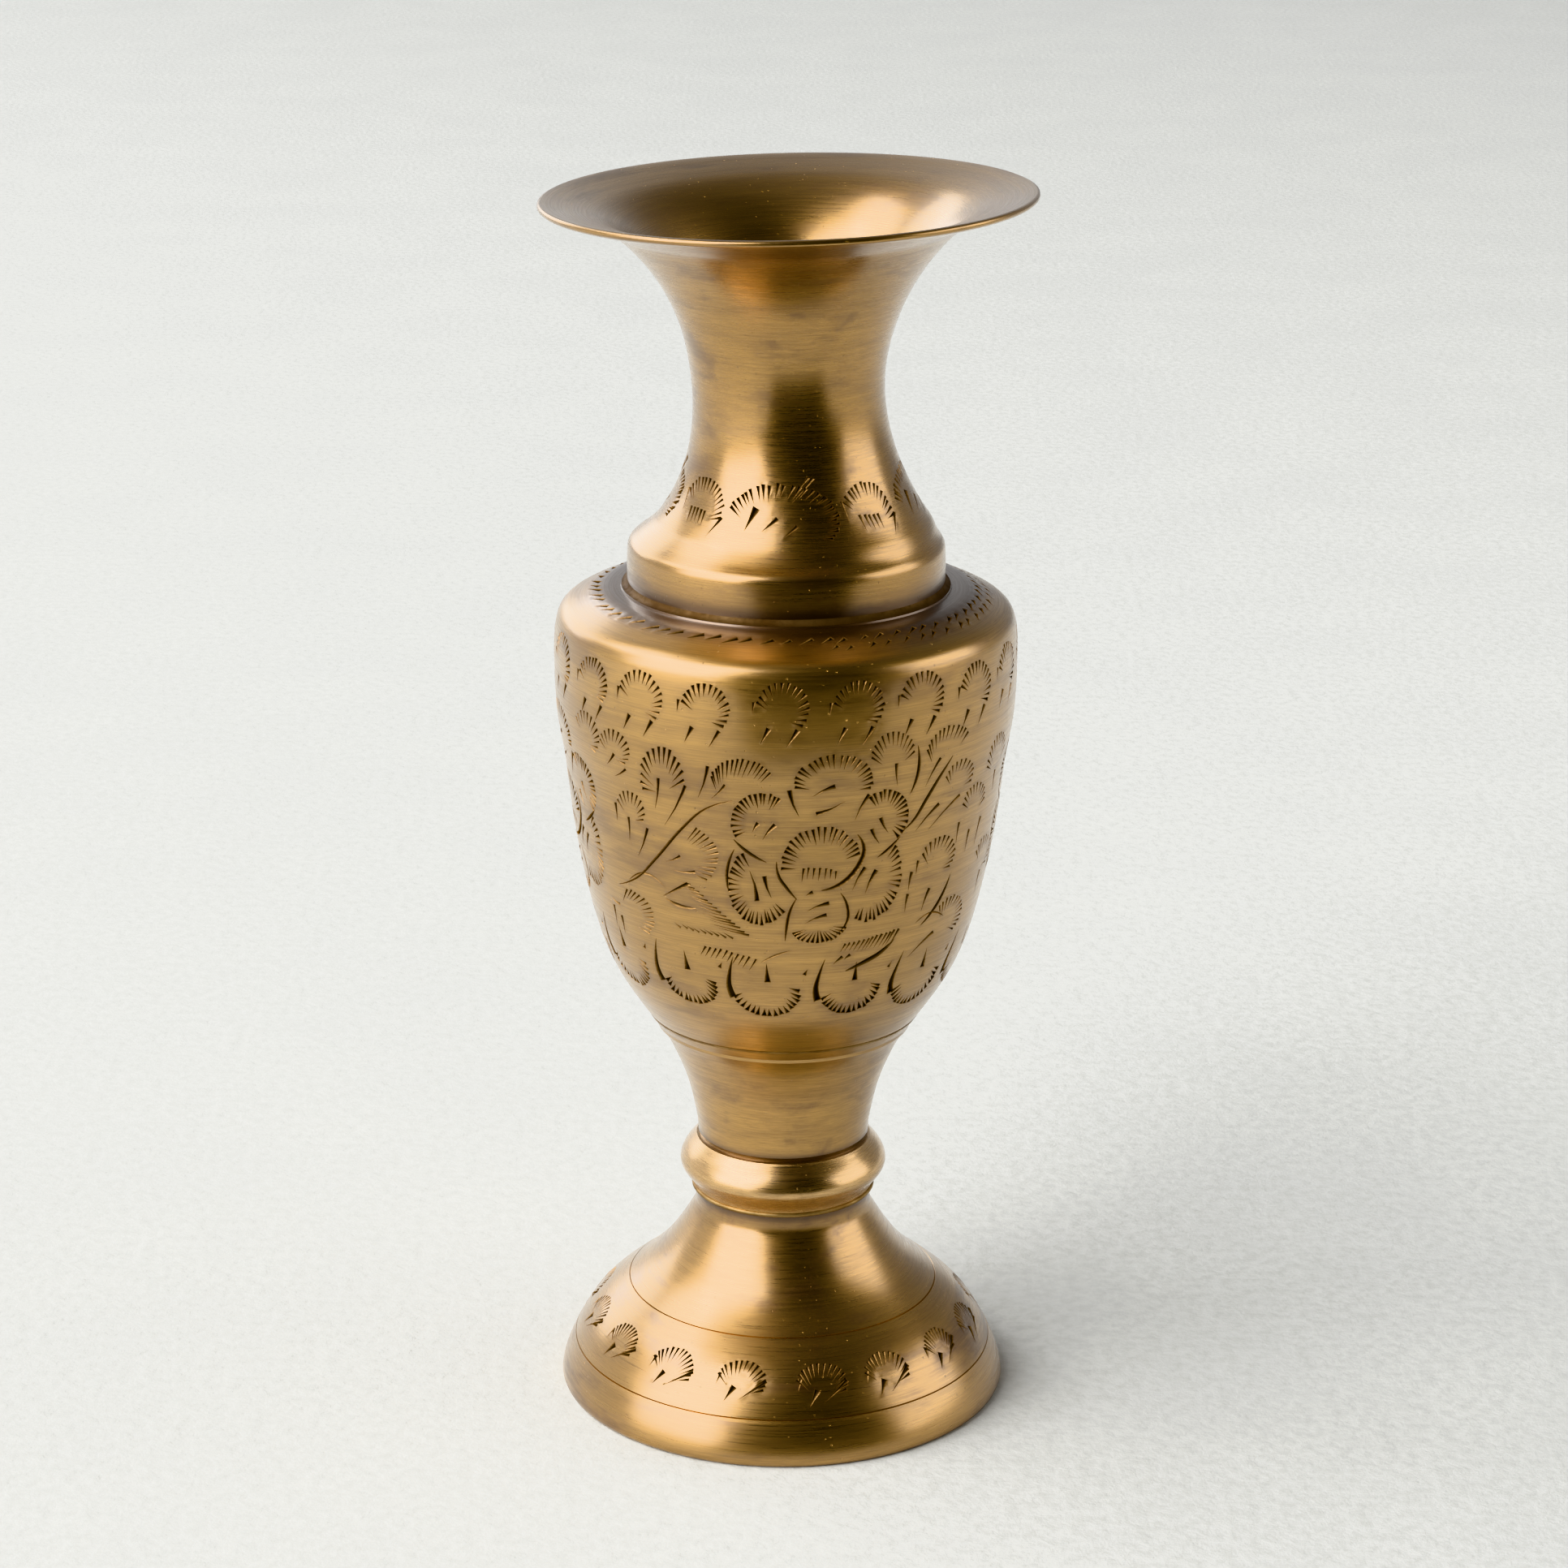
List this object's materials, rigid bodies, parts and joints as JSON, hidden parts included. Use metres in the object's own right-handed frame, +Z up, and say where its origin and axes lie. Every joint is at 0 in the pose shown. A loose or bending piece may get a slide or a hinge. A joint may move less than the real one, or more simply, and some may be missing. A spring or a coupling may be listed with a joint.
{
  "type": "engraved brass pedestal vase",
  "caption": "Turned brass pedestal vase with a flared mouth, drum collar, tapered engraved bowl, beaded stem and bell foot.",
  "frame": {"origin": "centre of the plane that the foot rests on", "axes": "+Z up along the turning axis, out of the mouth; -Y faces the viewer, towards the middle of one engraved flower"},
  "size_m": [0.074, 0.074, 0.19],
  "materials": {
    "antique_brass": "antique, brushed round the axis, lacquered",
    "polished_brass": "turned and polished",
    "solder": "hard solder, dull"
  },
  "bodies": {
    "root": {"neck": "antique_brass", "neck_solder": "solder", "bowl": "antique_brass", "seam_solder": "solder", "stem": "antique_brass", "ring": "polished_brass", "ring_solder": "solder", "foot": "antique_brass", "spigot_solder": "solder", "floor_disc": "antique_brass", "floor_solder": "solder"}
  },
  "joints": []
}
